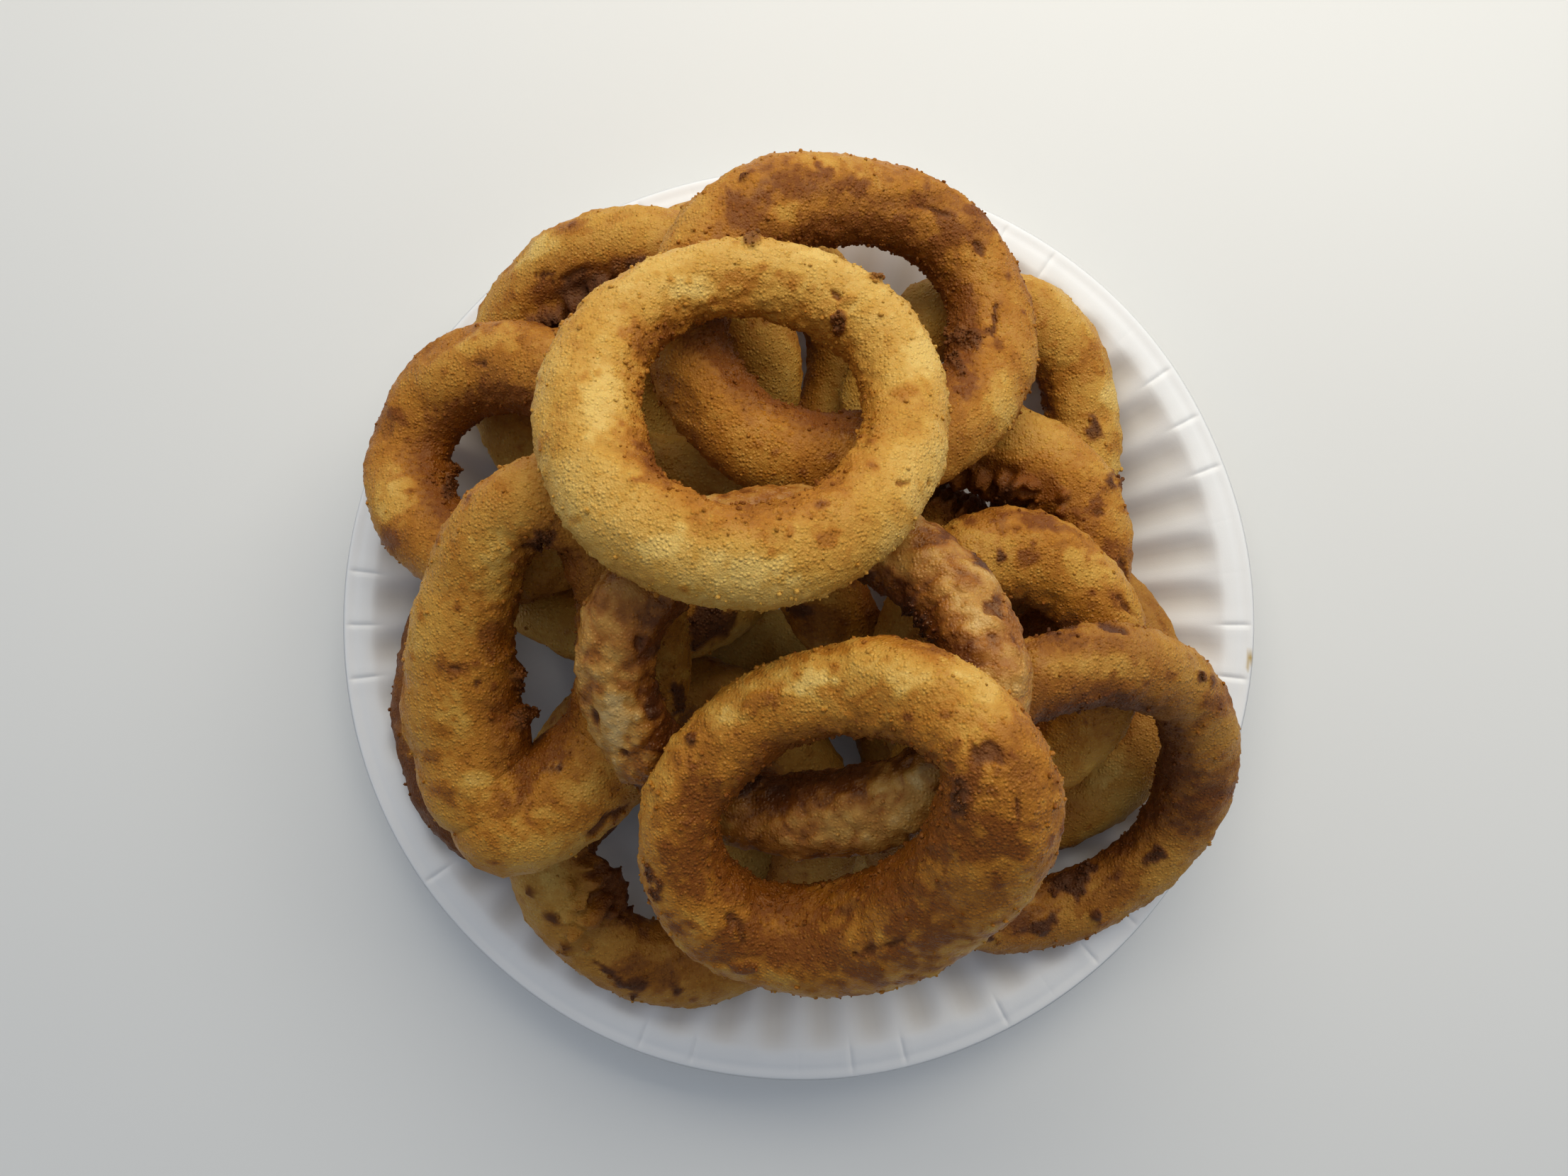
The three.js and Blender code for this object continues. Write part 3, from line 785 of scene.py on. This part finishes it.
def blistered_ring(node, seed, brown, spacing, marks, grains):
    """Batter laid on the smooth hoop: blisters, wrinkles between them, and a few crumbs.

    Its colour holds painted light and shade: paler blister tops, darker wrinkles, darker inside
    the hoop.
    """
    points, facing, roll = bare_hoop(node, spacing)
    inside = eased((-np.cos(roll) - 0.15 * np.sin(roll) + 0.1) / 0.95)
    swell, swell_draw = grit(points, BLISTER, seed)
    bubble, bubble_draw = grit(points, BUBBLE, seed + 10)
    fine, fine_draw = grit(points, BLISTER_CRUMB, seed + 20)
    blisters = 0.9 * np.sqrt(swell) * swell_draw + 0.55 * np.sqrt(bubble) * (bubble_draw > 0.4)
    wrinkles = (1 - np.abs(uneven(points * (1, 1, 1.6), 4.2, seed + 30))) ** 5
    crumbs = 0.45 * fine * (fine_draw > 0.7 - 0.35 * inside)
    height = 0.7 * uneven(points, 16, seed + 31) + blisters + crumbs - 0.4 * wrinkles - 0.55

    tone = brown + 0.16 * np.tanh(2 * uneven(points, 11, seed + 32))
    tone = tone + 0.24 * uneven(points, 2.3, seed + 33)
    # Inside the hoop the batter is browner, partly deeper frying and partly painted shade;
    # blister tops are painted paler, a painted highlight, and the wrinkles darker, painted shade.
    tone = tone + 0.38 * inside - 0.14 * blisters + 0.24 * wrinkles
    char = 0.8 * eased((uneven(points, 6, seed + 34) - 0.45) / 0.25) * inside

    chance = 0.15 + 0.6 * inside + 0.6 * np.cos(roll) ** 6
    for kind, mask in mark_masks(points, facing, marks, seed + 40):
        tone = tone + (BATTER_PALE if kind == "pale" else MARK_BROWN[kind]) * mask
        height = height + MARK_RISE.get(kind, 0) * mask
        if kind == "slit":
            char = np.maximum(char, SLIT_BURN * mask)
        if kind in GRITTY_MARKS:
            clump = kind == "clump"
            height = height + mask * (0.3 + (1.2 if clump else 0.3) * fine)
            char = np.maximum(char, BATTER_BURN * mask * (0.7 + 0.3 * fine_draw))
            chance = chance + 40 * mask * clump
    batter = points + height[..., None] * facing
    bits, spots = stuck_grains(batter, facing, chance, grains, seed + 50)
    return coated(node + "_batter", batter, bits, spots, tone, tone + 0.1, char)


blistered_batter = crust_finish(
    "blistered_batter",
    pale=(0.64, 0.42, 0.16),
    golden=(0.48, 0.24, 0.050),
    brown=(0.32, 0.112, 0.016),
    deep=(0.12, 0.030, 0.005),
    gloss=(0.18, 0.45),
    grit_depth=0.00025,
)
blistered = blistered_ring(
    "ring_wide_middle", 4001, brown=0.56, spacing=0.59, marks=WIDE_MIDDLE_MARKS, grains=260
)
blistered.data.materials.append(blistered_batter)
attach(blistered, "root")
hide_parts("ring_wide_middle")


# The studio: a plain pale table top, a broad warm window light from behind the plate, and a weak
# cool fill from the front, in a room that is brighter towards the window.
TABLE_REACH = 1.5
TABLE_BELOW_PLATE = 0.0003
TABLE_PALE = (0.78, 0.78, 0.77, 1)
TABLE_CLOUD = (0.74, 0.74, 0.73, 1)
ROOM_COLOUR = (0.83, 0.90, 1.0, 1)
ROOM_GLOW = (0.20, 0.74)

table_top = bpy.data.objects.new("table_top", bpy.data.meshes.new("table_top"))
corners = ((-1, -1), (1, -1), (1, 1), (-1, 1))
table_corners = [(right * TABLE_REACH, ahead * TABLE_REACH, 0) for right, ahead in corners]
table_top.data.from_pydata(table_corners, [], [(0, 1, 2, 3)])
table_top.location.z = -TABLE_BELOW_PLATE
bpy.context.scene.collection.objects.link(table_top)
table_paint = bpy.data.materials.new("table_paint")
make, tree = node_maker(table_paint)
place = make("ShaderNodeTexCoord").outputs["Object"]
cloud = make("ShaderNodeTexNoise", Vector=place, Scale=6.0).outputs[0]
tone = make("ShaderNodeMixRGB", Fac=cloud, Color1=TABLE_CLOUD, Color2=TABLE_PALE).outputs[0]
tree.links.new(tone, tree.nodes["Principled BSDF"].inputs["Base Color"])
tree.nodes["Principled BSDF"].inputs["Roughness"].default_value = 0.6
table_top.data.materials.append(table_paint)


def soft_light(name, place, aim, size, watts, colour):
    """A broad rectangle of light at a place, turned to face its aim."""
    lamp = bpy.data.objects.new(name, bpy.data.lights.new(name, "AREA"))
    lamp.data.shape = "RECTANGLE"
    lamp.data.size, lamp.data.size_y = size
    lamp.data.energy = watts
    lamp.data.color = colour
    lamp.location = place
    direction = lamp.location - type(lamp.location)(aim)
    lamp.rotation_euler = direction.to_track_quat("Z", "Y").to_euler()
    bpy.context.scene.collection.objects.link(lamp)


soft_light(
    "window",
    place=(0.10, 0.40, 0.43),
    aim=(0, 0.02, 0.03),
    size=(0.8, 0.35),
    watts=3.1,
    colour=(1.0, 0.93, 0.78),
)
soft_light(
    "front_fill",
    place=(-0.2, -0.9, 0.7),
    aim=(0, 0, 0),
    size=(1.0, 0.6),
    watts=0.2,
    colour=(0.60, 0.76, 1.0),
)
room = bpy.data.worlds.new("room")
make, tree = node_maker(room)
way = make("ShaderNodeSeparateXYZ", Vector=make("ShaderNodeTexCoord").outputs["Generated"])
front, back = ROOM_GLOW
glow = make("ShaderNodeMapRange", Value=way.outputs["Y"], _1=-1.0, _2=1.0, _3=front, _4=back)
tree.links.new(glow.outputs[0], tree.nodes["Background"].inputs["Strength"])
tree.nodes["Background"].inputs["Color"].default_value = ROOM_COLOUR
bpy.context.scene.world = room
